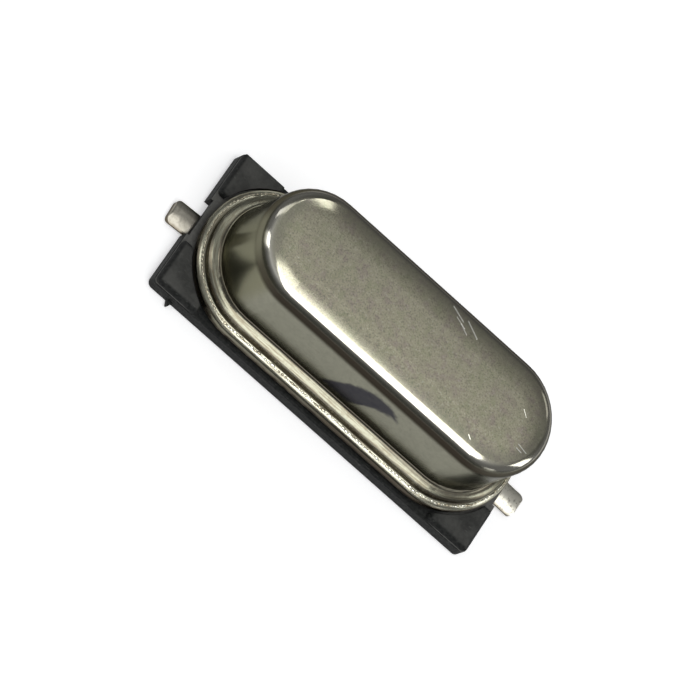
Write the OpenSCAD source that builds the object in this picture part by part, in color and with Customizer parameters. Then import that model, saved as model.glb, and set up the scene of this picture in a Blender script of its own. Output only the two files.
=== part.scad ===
// Surface-mount quartz crystal in a resistance-welded metal can.
// The can and its weld flange sit on a moulded insulator with four corner posts,
// and the two leads are flattened and bent outwards underneath it.
// X runs along the can, Z is up. The origin is on the board, under the middle.

/* [Can] */
// Length of the can over its straight wall
can_l = 10.1; // [9.9:0.05:10.2]
// Width of the can over its straight wall
can_w = 3.5; // [3.4:0.05:3.6]
// Height of the finished part above the board
total_h = 3.75; // [3.5:0.05:4.2]
// Thickness of the drawn sheet
sheet_t = 0.2; // [0.15:0.01:0.24]
// Outer radius between the top and the wall
crown_r = 0.42; // [0.3:0.02:0.6]
// Width of the shallow shoulder between the flat top and the crown
shoulder_w = 0.6; // [0.3:0.05:0.8]
// Radius over which the shoulder falls away
shoulder_r = 4; // [2:0.5:8]
// Concave radius where the wall turns out into the flange
root_r = 0.12; // [0.08:0.01:0.16]

/* [Weld flange] */
// How far the flange stands out from the wall
flange_reach = 0.5; // [0.48:0.01:0.54]
// Width of the pressed weld bead around the rim
bead_w = 0.21; // [0.18:0.01:0.23]
// Height of the bead above the weld plane
bead_h = 0.22; // [0.18:0.01:0.26]
// Radius over which the bead falls away to the rim
bead_r = 0.26; // [0.22:0.01:0.35]
// Height of the shelf inside the bead above the weld plane
shelf_h = 0.5; // [0.44:0.01:0.56]
// Radius over which the shelf falls away to its step
shelf_r = 0.4; // [0.36:0.01:0.5]
// Distance of the shelf's highest line from the wall
shelf_crest = 0.03; // [0.01:0.01:0.06]
// Width of the land that is welded, measured inwards from the bead
land_w = 0.08; // [0.04:0.01:0.1]

/* [Header] */
// Thickness of the header's own flange
header_flange_t = 0.22; // [0.18:0.01:0.26]
// How far the header's flange stops short of the can's rim
seam_step = 0.02; // [0:0.01:0.04]
// Rounding of the header flange's lower edge
header_edge_r = 0.08; // [0.02:0.01:0.1]
// Depth of the boss under the flange, which stands on the insulator
boss_h = 0.03; // [0.02:0.01:0.06]
// How far the boss lies inside the can's wall line
boss_inset = 0.05; // [0.02:0.01:0.3]
// Height of the deck that locates the can, above the weld plane
deck_h = 0.3; // [0.2:0.01:0.35]
// Gap between the deck and the can
deck_gap = 0.06; // [0.04:0.01:0.1]
// Rounding of the deck's upper edge
deck_edge_r = 0.05; // [0.02:0.01:0.08]
// Diameter of each glass seal
seal_d = 1.2; // [1:0.05:1.3]
// How far the glass stops short of the header's faces
seal_recess = 0.02; // [0.01:0.01:0.05]
// Depth of the meniscus in the ends of the glass
meniscus_h = 0.05; // [0.02:0.01:0.08]

/* [Leads] */
// Distance between the two lead wires
lead_pitch = 4.88; // [4.7:0.02:5]
// Diameter of the round lead wire
wire_d = 0.43; // [0.38:0.01:0.48]
// Length over the two lead feet
lead_span = 12.8; // [12.4:0.1:13]
// Width of the flattened foot
foot_w = 0.76; // [0.66:0.02:0.86]
// Thickness of the flattened foot
foot_t = 0.25; // [0.2:0.01:0.3]
// How far the feet stand below the insulator
foot_proud = 0.03; // [0:0.01:0.06]
// Rounding of the foot's rolled sides
foot_side_r = 0.11; // [0.04:0.01:0.12]
// Radius of the foot's domed upper face
foot_dome_r = 0.8; // [0.6:0.05:1.5]
// Rounding of the foot's two tip corners, seen from above
foot_tip_r = 0.18; // [0.04:0.01:0.25]
// Rounding of the sheared tip, seen from the side
foot_shear_r = 0.08; // [0.03:0.01:0.15]
// Outer radius of the bend under the wire
heel_r = 0.18; // [0.1:0.01:0.2]
// Inner radius of the bend between the wire and the foot
bend_r = 0.1; // [0.05:0.01:0.12]
// Length over which the wire widens into the foot
taper_l = 0.5; // [0.3:0.05:0.8]
// Height of the wire above the deck, inside the can
pin_stub = 0.35; // [0.25:0.01:0.4]
// Sideways set of the left foot towards the near side, in degrees, left by the bending
left_set = 3.6; // [0:0.2:4]
// The same for the right foot
right_set = 0.8; // [0:0.2:4]

/* [Insulator] */
// Length of the moulding
base_l = 11.5; // [11.3:0.05:11.7]
// Width of the moulding
base_w = 4.7; // [4.66:0.02:4.9]
// Thickness of the plate under the header
plate_t = 0.42; // [0.4:0.01:0.6]
// Rounding of the plate's upper edge
plate_edge_r = 0.05; // [0.02:0.01:0.1]
// Radius of the four corners, seen from above
corner_r = 0.18; // [0.1:0.01:0.3]
// Height of the corner posts above the plate
post_h = 0.22; // [0.16:0.01:0.3]
// Length of each post along the moulding's side
post_l = 1.5; // [1.2:0.05:1.7]
// Width of the gap between the posts at each end
end_gap_w = 1.7; // [1.4:0.05:2.2]
// How far the posts stand in from the plate's outline
post_inset = 0.02; // [0:0.01:0.06]
// Rounding of the posts' upper edges
post_edge_r = 0.2; // [0.1:0.01:0.21]
// Gap between the posts and the flange's rim
pocket_gap = 0.08; // [0.04:0.01:0.1]
// Depth of the notch in each end, around the foot
notch_d = 0.09; // [0.05:0.01:0.2]
// Gap around the foot in its groove
groove_gap = 0.04; // [0.03:0.01:0.05]
// Gap around the wire in its hole
hole_gap = 0.1; // [0.06:0.01:0.12]
// Distance of the gate vestige from the left end
gate_from_end = 0.78; // [0.5:0.02:2]
// How far the gate vestige stands out of the near side
gate_l = 0.15; // [0.05:0.01:0.2]
// How deep the gate vestige is rooted in the plate
gate_root = 0.1; // [0.05:0.01:0.2]
// Width of the gate vestige where it leaves the plate
gate_w = 0.18; // [0.1:0.01:0.3]
// Height of the gate vestige
gate_h = 0.14; // [0.08:0.01:0.3]

/* [Resonator] */
// Length of the quartz strip
blank_l = 8; // [7.4:0.1:8.4]
// Gap between the strip's upper edge and the can
blank_top_gap = 0.2; // [0.15:0.01:0.3]
// Thickness of the quartz strip
blank_t = 0.21; // [0.17:0.01:0.3]
// Gap between the strip and the clip arms under it
blank_gap = 0.15; // [0.1:0.01:0.18]
// Length of each electrode's middle field
electrode_l = 4; // [3:0.1:5]
// Bare margin above and below each electrode's middle field
electrode_margin = 0.25; // [0.2:0.01:0.35]
// Height of the tab that runs to the strip's end
tab_h = 0.6; // [0.4:0.05:0.8]
// Thickness of each electrode, thicker than the real film
film_t = 0.02; // [0.01:0.01:0.03]
// Thickness of the spring clips' strip
clip_t = 0.1; // [0.08:0.01:0.14]
// Width of the spring clips
clip_w = 0.8; // [0.7:0.05:1]
// Inner radius of each clip's bend
clip_bend_r = 0.1; // [0.05:0.01:0.14]
// How far each clip's fork stops below the strip's upper edge
jaw_drop = 0.6; // [0.4:0.05:0.7]
// Distance of each fork from the end of the strip
fork_inset = 0.3; // [0.2:0.02:0.4]
// Gap on each side of the strip in its fork
fork_gap = 0.03; // [0.02:0.01:0.05]
// Radius of each adhesive dab
dab_r = 0.3; // [0.2:0.01:0.34]

/* [Hidden] */
$fn = 96;

// Heights, from the board up
z_plate = foot_proud;
z_header = z_plate + plate_t;
z_post = z_header + post_h;
z_flange = z_header + boss_h;
z_weld = z_flange + header_flange_t;
z_bead = z_weld + bead_h;
z_shelf = z_weld + shelf_h;
z_deck = z_weld + deck_h;
z_pin = z_deck + pin_stub;
z_blank = z_pin + clip_t + blank_gap;
// The quartz strip stands on its long edge and fills the height that is left
blank_h = total_h - sheet_t - blank_top_gap - z_blank;
electrode_h = blank_h - 2 * electrode_margin;
jaw_h = blank_h - jaw_drop;
z_dab = z_blank + jaw_h / 2;

// Distances from the can's spine, which joins the centres of its two round ends
spine_l = can_l - can_w;
r_wall = can_w / 2;
r_rim = r_wall + flange_reach;
r_shelf = r_rim - bead_w;
r_land = r_shelf - land_w;
r_crest = r_wall + shelf_crest;
r_inner = r_wall - sheet_t;
r_deck = r_inner - deck_gap;
r_boss = r_wall - boss_inset;

// The root's arc touches the wall on one side and the shelf's arc on the other
root_run = max(0, root_r - shelf_crest);
z_root = z_shelf - shelf_r + sqrt(pow(shelf_r + root_r, 2) - pow(root_run, 2));
r_root = r_wall + root_r;
r_root_end = r_root - root_run * root_r / (shelf_r + root_r);

pin_x = lead_pitch / 2;
fork_x = blank_l / 2 - fork_inset;
film_y = blank_t / 2 + film_t;
foot_reach = lead_span / 2 - pin_x;
// Both grooves are alike, and wide enough for the foot with the larger set
foot_shift = (base_l / 2 - pin_x) * tan(max(left_set, right_set));
groove_w = foot_w + 2 * (groove_gap + foot_shift);
// How far a cutting shape runs past what it cuts
cut = 1;

// ---- Outlines ----

// Rectangle with round corners, centred
module round_rect(l, w, r) {
    square([l - 2 * r, w], center = true);
    square([l, w - 2 * r], center = true);
    for (x = [-1, 1], y = [-1, 1])
        translate([x * (l / 2 - r), y * (w / 2 - r)])
            circle(r);
}

// Rectangle with two half-round ends, centred
module stadium(straight, r) {
    square([straight, 2 * r], center = true);
    for (x = [-1, 1])
        translate([x * straight / 2, 0])
            circle(r);
}

// Half section of a layer: from the axis out to r, from z0 up to z1,
// with its outer edge rounded to top_r above and foot_r below
module layer(r, z0, z1, top_r = 0, foot_r = 0) {
    translate([0, z0 + foot_r])
        square([r, z1 - z0 - top_r - foot_r]);
    if (top_r > 0) {
        translate([0, z0 + foot_r])
            square([r - top_r, z1 - z0 - foot_r]);
        translate([r - top_r, z1 - top_r])
            circle(top_r);
    }
    if (foot_r > 0) {
        translate([0, z0])
            square([r - foot_r, z1 - z0 - top_r]);
        translate([r - foot_r, z0 + foot_r])
            circle(foot_r);
    }
}

// Half section of the can's body, with its flat top, shoulder, crown and wall. A cavity
// in it has the same arc centres, and radii that are smaller by the sheet's thickness
module crowned_layer(r, z0, z1, crown, shoulder) {
    flat_r = r - crown - shoulder_w;
    // The crown's arc touches the shoulder's arc inside and the wall outside
    z_crown = z1 - shoulder + sqrt(pow(shoulder - crown, 2) - pow(shoulder_w, 2));
    touch_r = flat_r + shoulder * shoulder_w / (shoulder - crown);
    translate([0, z0])
        square([r, z_crown - z0]);
    translate([0, z0])
        square([flat_r, z1 - z0]);
    translate([r - crown, z_crown])
        circle(crown);
    intersection() {
        translate([flat_r, z1 - shoulder])
            circle(shoulder);
        translate([flat_r, z_crown])
            square([touch_r - flat_r, z1 - z_crown]);
    }
}

// Half section of a ridge: flat out to its crest, then falling away along an arc
// of radius fall_r as far as r, where its side drops to z0
module ridge(crest, r, z0, z1, fall_r) {
    knee = max(z0, z1 - fall_r);
    translate([0, z0])
        square([crest, z1 - z0]);
    if (knee > z0)
        translate([crest, z0])
            square([r - crest, knee - z0]);
    intersection() {
        translate([crest, z1 - fall_r])
            circle(fall_r);
        translate([crest, knee])
            square([r - crest, z1 - knee]);
    }
}

// Full section of a bar standing on z0, its two upper edges rounded to r
module arch(w, z0, z1, r) {
    translate([-w / 2, z0])
        square([w, z1 - z0 - r]);
    translate([r - w / 2, z0])
        square([w - 2 * r, z1 - z0]);
    for (x = [-1, 1])
        translate([x * (w / 2 - r), z1 - r])
            circle(r);
}

// ---- Ways of making a solid from an outline ----

// Carries a half section around the can's outline: half turns at the ends,
// and a straight run between them
module around_spine() {
    for (turn = [0, 180])
        rotate(turn)
            translate([spine_l / 2, 0, 0])
                rotate(-90)
                    rotate_extrude(angle = 180)
                        children();
    translate([-spine_l / 2, 0, 0])
        rotate([90, 0, 90])
            linear_extrude(spine_l) {
                children();
                mirror([1, 0])
                    children();
            }
}

// Extrudes an outline drawn as X against Z along the whole width
module across(width) {
    rotate([90, 0, 0])
        linear_extrude(width, center = true)
            children();
}

// Extrudes an outline drawn as Y against Z along the whole length
module along(length) {
    rotate([90, 0, 90])
        linear_extrude(length, center = true)
            children();
}

// Block with round corners seen from above and round upper edges
module moulded_block(l, w, z0, z1, plan_r, edge_r) {
    intersection() {
        translate([0, 0, z0])
            linear_extrude(z1 - z0)
                round_rect(l, w, plan_r);
        across(w)
            arch(l, z0, z1, edge_r);
        along(l)
            arch(w, z0, z1, edge_r);
    }
}

// ---- Can and header ----

// Half section of the drawn can: crowned wall, root, shelf and weld bead
module can_section() {
    difference() {
        union() {
            crowned_layer(r_wall, z_weld, total_h, crown_r, shoulder_r);
            ridge(r_crest, r_shelf, z_weld, z_shelf, shelf_r);
            ridge(r_shelf, r_rim, z_weld, z_bead, bead_r);
            difference() {
                translate([0, z_weld])
                    square([r_root_end, z_root - z_weld]);
                translate([r_root, z_root])
                    circle(root_r);
            }
        }
        crowned_layer(r_inner, z_weld - cut, total_h - sheet_t,
            crown_r - sheet_t, shoulder_r - sheet_t);
        difference() {
            translate([0, z_weld - cut])
                square([r_root_end, cut + z_root - z_weld]);
            translate([r_root, z_root])
                circle(root_r + sheet_t);
        }
        ridge(r_crest, r_land, z_weld - cut, z_shelf - sheet_t, shelf_r - sheet_t);
    }
}

module can() {
    color([0.64, 0.62, 0.57])
        around_spine()
            can_section();
}

module header_base() {
    color([0.6, 0.57, 0.5])
        difference() {
            around_spine() {
                layer(r_boss, z_header, z_weld);
                layer(r_rim - seam_step, z_flange, z_weld, foot_r = header_edge_r);
                layer(r_deck, z_flange, z_deck, top_r = deck_edge_r);
            }
            for (x = [-1, 1])
                translate([x * pin_x, 0, z_header - cut])
                    cylinder(d = seal_d, h = z_deck - z_header + 2 * cut);
        }
}

// Glass bead with a hollow meniscus around the wire at both ends
module glass_seal() {
    z0 = z_header + seal_recess;
    z1 = z_deck - seal_recess;
    ring_w = (seal_d - wire_d) / 2;
    // Radius of the arc that spans the ring of glass and is meniscus_h deep
    dip_r = (pow(ring_w / 2, 2) + pow(meniscus_h, 2)) / (2 * meniscus_h);
    color([0.3, 0.42, 0.5])
        rotate_extrude()
            difference() {
                translate([wire_d / 2, z0])
                    square([ring_w, z1 - z0]);
                for (z = [z0 + meniscus_h - dip_r, z1 - meniscus_h + dip_r])
                    translate([(seal_d + wire_d) / 4, z])
                        circle(dip_r);
            }
}

// ---- Leads ----

// Outline of the foot from above, starting at the wire's axis
module foot_plan() {
    circle(d = wire_d);
    polygon([
        [0, -wire_d / 2],
        [taper_l, -foot_w / 2],
        [taper_l, foot_w / 2],
        [0, wire_d / 2]
    ]);
    translate([taper_l, -foot_w / 2])
        square([foot_reach - taper_l - foot_tip_r, foot_w]);
    translate([taper_l, foot_tip_r - foot_w / 2])
        square([foot_reach - taper_l, foot_w - 2 * foot_tip_r]);
    for (y = [-1, 1])
        translate([foot_reach - foot_tip_r, y * (foot_w / 2 - foot_tip_r)])
            circle(foot_tip_r);
}

// Outline of the foot from the side: rounded heel, and a tip rounded by the shear
module foot_elevation() {
    heel_x = -wire_d / 2;
    translate([heel_x + heel_r, 0])
        square([foot_reach - heel_x - heel_r, foot_t - foot_shear_r]);
    translate([heel_x + heel_r, 0])
        square([foot_reach - heel_x - heel_r - foot_shear_r, foot_t]);
    translate([heel_x, heel_r])
        square([heel_r, foot_t - heel_r]);
    translate([heel_x + heel_r, heel_r])
        circle(heel_r);
    translate([foot_reach - foot_shear_r, foot_t - foot_shear_r])
        circle(foot_shear_r);
}

// Section of the foot: rolled sides and a domed upper face
module foot_section() {
    intersection() {
        translate([0, foot_t / 2])
            round_rect(foot_w, foot_t, foot_side_r);
        translate([0, foot_t - foot_dome_r])
            circle(foot_dome_r);
    }
}

// One lead with its wire on the Z axis and its foot along +X
module lead() {
    color([0.72, 0.72, 0.7]) {
        translate([0, 0, heel_r])
            cylinder(d = wire_d, h = z_pin - heel_r);
        intersection() {
            linear_extrude(foot_t)
                foot_plan();
            along(2 * foot_reach)
                foot_section();
            across(foot_w)
                foot_elevation();
        }
        // Inside of the bend, down to the foot's domed face
        intersection() {
            translate([0, 0, heel_r])
                linear_extrude(foot_t + bend_r - heel_r)
                    foot_plan();
            rotate_extrude()
                difference() {
                    square([wire_d / 2 + bend_r, foot_t + bend_r]);
                    translate([wire_d / 2 + bend_r, foot_t + bend_r])
                        circle(bend_r);
                }
        }
    }
}

module lead_left() {
    translate([-pin_x, 0, 0])
        rotate(180 + left_set)
            lead();
}

module lead_right() {
    translate([pin_x, 0, 0])
        rotate(-right_set)
            lead();
}

// ---- Resonator ----

// Right-hand spring clip: an arm welded to the wire's end, bent up into a fork
module spring_clip() {
    slot_w = blank_t + 2 * (film_t + fork_gap);
    bend_z = z_pin + clip_t + clip_bend_r;
    bend_x = fork_x - clip_bend_r;
    color([0.7, 0.66, 0.55])
        difference() {
            union() {
                translate([0, 0, z_pin])
                    linear_extrude(clip_t) {
                        translate([pin_x, 0])
                            circle(d = clip_w);
                        translate([pin_x, -clip_w / 2])
                            square([bend_x - pin_x, clip_w]);
                    }
                across(clip_w) {
                    translate([fork_x, bend_z])
                        square([clip_t, z_blank + jaw_h - bend_z]);
                    intersection() {
                        difference() {
                            translate([bend_x, bend_z])
                                circle(clip_bend_r + clip_t);
                            translate([bend_x, bend_z])
                                circle(clip_bend_r);
                        }
                        translate([bend_x, z_pin])
                            square(clip_bend_r + clip_t);
                    }
                }
            }
            translate([fork_x - cut, -slot_w / 2, z_blank])
                cube([2 * cut, slot_w, jaw_h + cut]);
        }
}

module quartz_blank() {
    color([0.85, 0.88, 0.88])
        translate([-blank_l / 2, -blank_t / 2, z_blank])
            cube([blank_l, blank_t, blank_h]);
}

// Film on the near face, whose tab runs to the left end
module electrode() {
    color([0.8, 0.8, 0.78])
        translate([0, -blank_t / 2 - film_t / 2, 0])
            across(film_t) {
                translate([0, z_blank + blank_h / 2])
                    round_rect(electrode_l, electrode_h, tab_h / 4);
                translate([-blank_l / 2, z_dab - tab_h / 2])
                    square([blank_l / 2, tab_h]);
            }
}

// Dab in the corner between the left fork and the near electrode's tab
module adhesive() {
    color([0.55, 0.54, 0.5])
        translate([-fork_x, -film_y, z_dab])
            intersection() {
                sphere(dab_r);
                translate([0, -dab_r, -dab_r])
                    cube([dab_r, dab_r, 2 * dab_r]);
            }
}

// ---- Insulator ----

// Block that a post is cut from, in the corner at +X and +Y
module post_block() {
    outer_x = base_l / 2 - post_inset;
    outer_y = base_w / 2 - post_inset;
    inner_x = base_l / 2 - post_l;
    inner_y = end_gap_w / 2;
    translate([(outer_x + inner_x) / 2, (outer_y + inner_y) / 2, 0])
        moulded_block(outer_x - inner_x, outer_y - inner_y,
            z_plate, z_post, corner_r - post_inset, post_edge_r);
}

// Hole, groove and end notch for the right-hand lead
module lead_way() {
    hole_r = wire_d / 2 + hole_gap;
    translate([pin_x + bend_r / 2, 0, -cut])
        linear_extrude(z_header + 2 * cut)
            stadium(bend_r, hole_r);
    translate([pin_x - hole_r, -groove_w / 2, -cut])
        cube([base_l / 2 + cut - pin_x + hole_r, groove_w, cut + foot_t + groove_gap]);
    translate([base_l / 2 - notch_d, -groove_w / 2, -cut])
        cube([cut, groove_w, z_header + 2 * cut]);
}

// Small nib left on the near side where the moulding was broken from its gate
module gate_vestige() {
    translate([gate_from_end - base_l / 2, -base_w / 2, z_plate])
        linear_extrude(gate_h)
            polygon([
                [-gate_w / 2, gate_root],
                [-gate_w / 2, 0],
                [-gate_w / 8, -gate_l],
                [gate_w / 8, -gate_l],
                [gate_w / 2, 0],
                [gate_w / 2, gate_root]
            ]);
}

module insulator_base() {
    color([0.17, 0.175, 0.185]) {
        difference() {
            union() {
                moulded_block(base_l, base_w, z_plate, z_header, corner_r, plate_edge_r);
                difference() {
                    for (x = [0, 1], y = [0, 1])
                        mirror([x, 0, 0])
                            mirror([0, y, 0])
                                post_block();
                    // The pocket that the flange lies in
                    translate([0, 0, z_header])
                        linear_extrude(cut)
                            stadium(spine_l, r_rim + pocket_gap);
                }
            }
            for (turn = [0, 180])
                rotate(turn)
                    lead_way();
        }
        gate_vestige();
    }
}

// ---- Parts ----

can();
header_base();
translate([-pin_x, 0, 0]) glass_seal();  // glass_seal_left
translate([pin_x, 0, 0]) glass_seal();  // glass_seal_right
lead_left();
lead_right();
mirror([1, 0, 0]) spring_clip();  // spring_clip_left
spring_clip();  // spring_clip_right
quartz_blank();
electrode();  // electrode_front
rotate(180) electrode();  // electrode_back
adhesive();  // adhesive_left
rotate(180) adhesive();  // adhesive_right
insulator_base();
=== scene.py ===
"""Dresses the surface-mount quartz crystal and sets up the studio it stands in."""

import logging
import math
from collections.abc import Mapping, Sequence
from dataclasses import dataclass, field
from enum import Enum

import bpy
from mathutils import Matrix, Quaternion, Vector


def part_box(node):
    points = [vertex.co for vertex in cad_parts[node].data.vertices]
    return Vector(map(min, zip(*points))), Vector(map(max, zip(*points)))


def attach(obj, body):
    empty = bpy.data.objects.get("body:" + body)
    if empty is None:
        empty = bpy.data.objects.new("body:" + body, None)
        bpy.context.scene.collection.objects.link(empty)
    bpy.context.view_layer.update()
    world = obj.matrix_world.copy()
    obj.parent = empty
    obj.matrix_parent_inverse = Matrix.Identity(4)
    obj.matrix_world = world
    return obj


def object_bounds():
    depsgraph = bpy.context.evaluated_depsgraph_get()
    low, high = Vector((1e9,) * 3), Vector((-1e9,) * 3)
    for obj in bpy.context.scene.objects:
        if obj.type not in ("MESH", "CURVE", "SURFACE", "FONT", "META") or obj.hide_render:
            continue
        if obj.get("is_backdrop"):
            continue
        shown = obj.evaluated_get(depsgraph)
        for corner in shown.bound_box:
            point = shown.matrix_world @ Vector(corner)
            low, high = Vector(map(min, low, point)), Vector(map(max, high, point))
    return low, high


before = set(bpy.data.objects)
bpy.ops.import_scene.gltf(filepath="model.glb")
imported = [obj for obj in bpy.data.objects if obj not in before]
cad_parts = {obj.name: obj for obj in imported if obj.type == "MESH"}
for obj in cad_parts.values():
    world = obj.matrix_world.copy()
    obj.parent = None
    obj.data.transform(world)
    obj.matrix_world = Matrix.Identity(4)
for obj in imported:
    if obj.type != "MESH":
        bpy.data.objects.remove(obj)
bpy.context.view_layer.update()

LOG = logging.getLogger("crystal")
MM = 0.001

Colour = tuple[float, float, float]
Point = tuple[float, float]


class Slot(Enum):
    """The record's material slots."""

    CAN = "can_metal"
    HEADER = "header_metal"
    SEAL = "seal_glass"
    LEAD = "tinned_lead"
    CLIP = "clip_strip"
    QUARTZ = "quartz"
    FILM = "silver_film"
    DAB = "conductive_adhesive"
    INSULATOR = "insulator_plastic"


class Side(Enum):
    """The two ends of the part, along X."""

    LEFT = "left"
    RIGHT = "right"


# ---- Shader building ----


class Wire:
    """A value, colour or vector on its way between two shader nodes."""

    def __init__(self, bench: "Bench", socket: bpy.types.NodeSocket) -> None:
        """Wraps a socket.

        Args:
            bench: The bench whose tree the socket belongs to.
            socket: The output socket that carries the value.
        """
        self.bench = bench
        self.socket = socket

    def _maths(self, operation: str, *terms: "Wire | float") -> "Wire":
        """Adds one Math node.

        Args:
            operation: The node's operation.
            terms: Its inputs, in order.

        Returns:
            The node's output.
        """
        return self.bench.node("ShaderNodeMath", {"operation": operation}, dict(enumerate(terms)))

    def __add__(self, other: "Wire | float") -> "Wire":
        """Returns self + other."""
        return self._maths("ADD", self, other)

    def __radd__(self, other: float) -> "Wire":
        """Returns other + self."""
        return self._maths("ADD", other, self)

    def __sub__(self, other: "Wire | float") -> "Wire":
        """Returns self - other."""
        return self._maths("SUBTRACT", self, other)

    def __rsub__(self, other: float) -> "Wire":
        """Returns other - self."""
        return self._maths("SUBTRACT", other, self)

    def __mul__(self, other: "Wire | float") -> "Wire":
        """Returns self * other."""
        return self._maths("MULTIPLY", self, other)

    def __rmul__(self, other: float) -> "Wire":
        """Returns other * self."""
        return self._maths("MULTIPLY", other, self)

    def __truediv__(self, other: "Wire | float") -> "Wire":
        """Returns self / other."""
        return self._maths("DIVIDE", self, other)

    def __pow__(self, power: float) -> "Wire":
        """Returns self to a power."""
        return self._maths("POWER", self, power)

    def __abs__(self) -> "Wire":
        """Returns the size of self."""
        return self._maths("ABSOLUTE", self)

    def at_least(self, floor: "Wire | float") -> "Wire":
        """Returns the larger of self and floor."""
        return self._maths("MAXIMUM", self, floor)

    def at_most(self, ceiling: "Wire | float") -> "Wire":
        """Returns the smaller of self and ceiling."""
        return self._maths("MINIMUM", self, ceiling)

    def sign(self) -> "Wire":
        """Returns 1 or -1, by the sign of self."""
        return self._maths("SIGN", self)

    def beside(self, output: str | int) -> "Wire":
        """Returns another output of the node that self comes from."""
        return Wire(self.bench, self.socket.node.outputs[output])

    def rise(self, low: float, high: float) -> "Wire":
        """Makes a mask that rises smoothly.

        Args:
            low: Where the mask is still 0.
            high: Where the mask has reached 1; below low, the mask falls instead.

        Returns:
            The mask.
        """
        return self.bench.node(
            "ShaderNodeMapRange",
            {"interpolation_type": "SMOOTHSTEP"},
            {"Value": self, "From Min": low, "From Max": high},
        )

    def band(self, low: float, high: float, soft: float) -> "Wire":
        """Returns a mask that is 1 from low to high and 0 further than soft outside."""
        return self.rise(low - soft, low) * self.rise(high + soft, high)


class Bench:
    """A node tree under construction."""

    def __init__(self, tree: bpy.types.NodeTree) -> None:
        """Takes up a tree and clears it.

        Args:
            tree: The node tree to build in.
        """
        self.tree = tree
        self.tree.nodes.clear()

    def node(
        self,
        kind: str,
        settings: Mapping[str, object] | None = None,
        inputs: Mapping[str | int, object] | None = None,
        output: str | int = 0,
    ) -> Wire:
        """Adds a node.

        Args:
            kind: The node's type.
            settings: Its own settings, set before its sockets; "stops" are a ramp's.
            inputs: Values or wires for its input sockets, by name or index.
            output: The output socket to return.

        Returns:
            The chosen output.
        """
        made = self.tree.nodes.new(kind)
        for name, value in (settings or {}).items():
            if name == "stops":
                elements = made.color_ramp.elements
                while len(elements) < len(value):
                    elements.new(1.0)
                for element, (place, level) in zip(elements, value):
                    element.position = place
                    element.color = (level, level, level, 1.0)
            else:
                setattr(made, name, value)
        for key, value in (inputs or {}).items():
            socket = made.inputs[key]
            if isinstance(value, Wire):
                self.tree.links.new(value.socket, socket)
            elif socket.type == "RGBA":
                socket.default_value = (*value[:3], 1.0)
            else:
                socket.default_value = value
        return Wire(self, made.outputs[output])

    def end(self, kind: str, result: Wire) -> None:
        """Links a result to the tree's output.

        Args:
            kind: The output node's type.
            result: What the tree gives.
        """
        self.tree.links.new(result.socket, self.tree.nodes.new(kind).inputs[0])

    def split(self, vector: Wire) -> tuple[Wire, Wire, Wire]:
        """Returns the three components of a vector."""
        first = self.node("ShaderNodeSeparateXYZ", inputs={0: vector})
        return first, first.beside(1), first.beside(2)

    def join(self, x: "Wire | float", y: "Wire | float", z: "Wire | float") -> Wire:
        """Returns a vector made of three components."""
        return self.node("ShaderNodeCombineXYZ", inputs={0: x, 1: y, 2: z})

    def vector(self, operation: str, *terms: "Wire | Colour | float") -> Wire:
        """Adds one Vector Math node.

        Args:
            operation: The node's operation.
            terms: Its inputs, in order; the last of SCALE is a number.

        Returns:
            The node's first output.
        """
        inputs: dict[str | int, object] = dict(enumerate(terms))
        if operation == "SCALE":
            inputs["Scale"] = inputs.pop(1)
        return self.node("ShaderNodeVectorMath", {"operation": operation}, inputs)

    def blend(self, mask: "Wire | float", under: "Wire | Colour", over: "Wire | Colour") -> Wire:
        """Mixes two colours.

        Args:
            mask: How much of the second colour shows.
            under: The first colour.
            over: The second colour.

        Returns:
            The mixed colour.
        """
        colours = {0: mask, 6: under, 7: over}
        return self.node("ShaderNodeMix", {"data_type": "RGBA"}, colours, output=2)


class Recipe(Bench):
    """One procedural material and the nodes it is made of."""

    def __init__(self, name: str) -> None:
        """Starts an empty material.

        Args:
            name: The material's name.
        """
        self.material = bpy.data.materials.new(name)
        self.material.use_nodes = True
        super().__init__(self.material.node_tree)

    def millimetres(self) -> Wire:
        """Returns the place on the part, in millimetres, in the part's own frame."""
        return self.vector("SCALE", self.node("ShaderNodeTexCoord", output="Object"), 1 / MM)

    def grain(self, place: Wire, per_mm: float, detail: float = 2.0, twist: float = 0.0) -> Wire:
        """Adds a noise pattern.

        Args:
            place: Where the pattern is read, in millimetres.
            per_mm: How many grains fit in a millimetre.
            detail: How many finer layers it has.
            twist: How far it is distorted.

        Returns:
            The pattern, about 0.5 on average.
        """
        inputs = {"Vector": place, "Scale": per_mm, "Detail": detail, "Distortion": twist}
        return self.node("ShaderNodeTexNoise", inputs=inputs)

    def relief(self, height: Wire, depth: float) -> Wire:
        """Makes a surface uneven.

        Args:
            height: The pattern of heights, as shares of the depth.
            depth: How far a height of 1 stands out, in millimetres.

        Returns:
            The normal for a shader.
        """
        inputs = {"Height": height, "Distance": depth * MM, "Strength": 1.0}
        return self.node("ShaderNodeBump", inputs=inputs)

    def finish(self, surface: Mapping[str, object]) -> bpy.types.Material:
        """Ends the recipe in one Principled shader.

        Args:
            surface: Values and wires for the shader's sockets, by name.

        Returns:
            The finished material.
        """
        self.end("ShaderNodeOutputMaterial", self.node("ShaderNodeBsdfPrincipled", inputs=surface))
        return self.material


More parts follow.
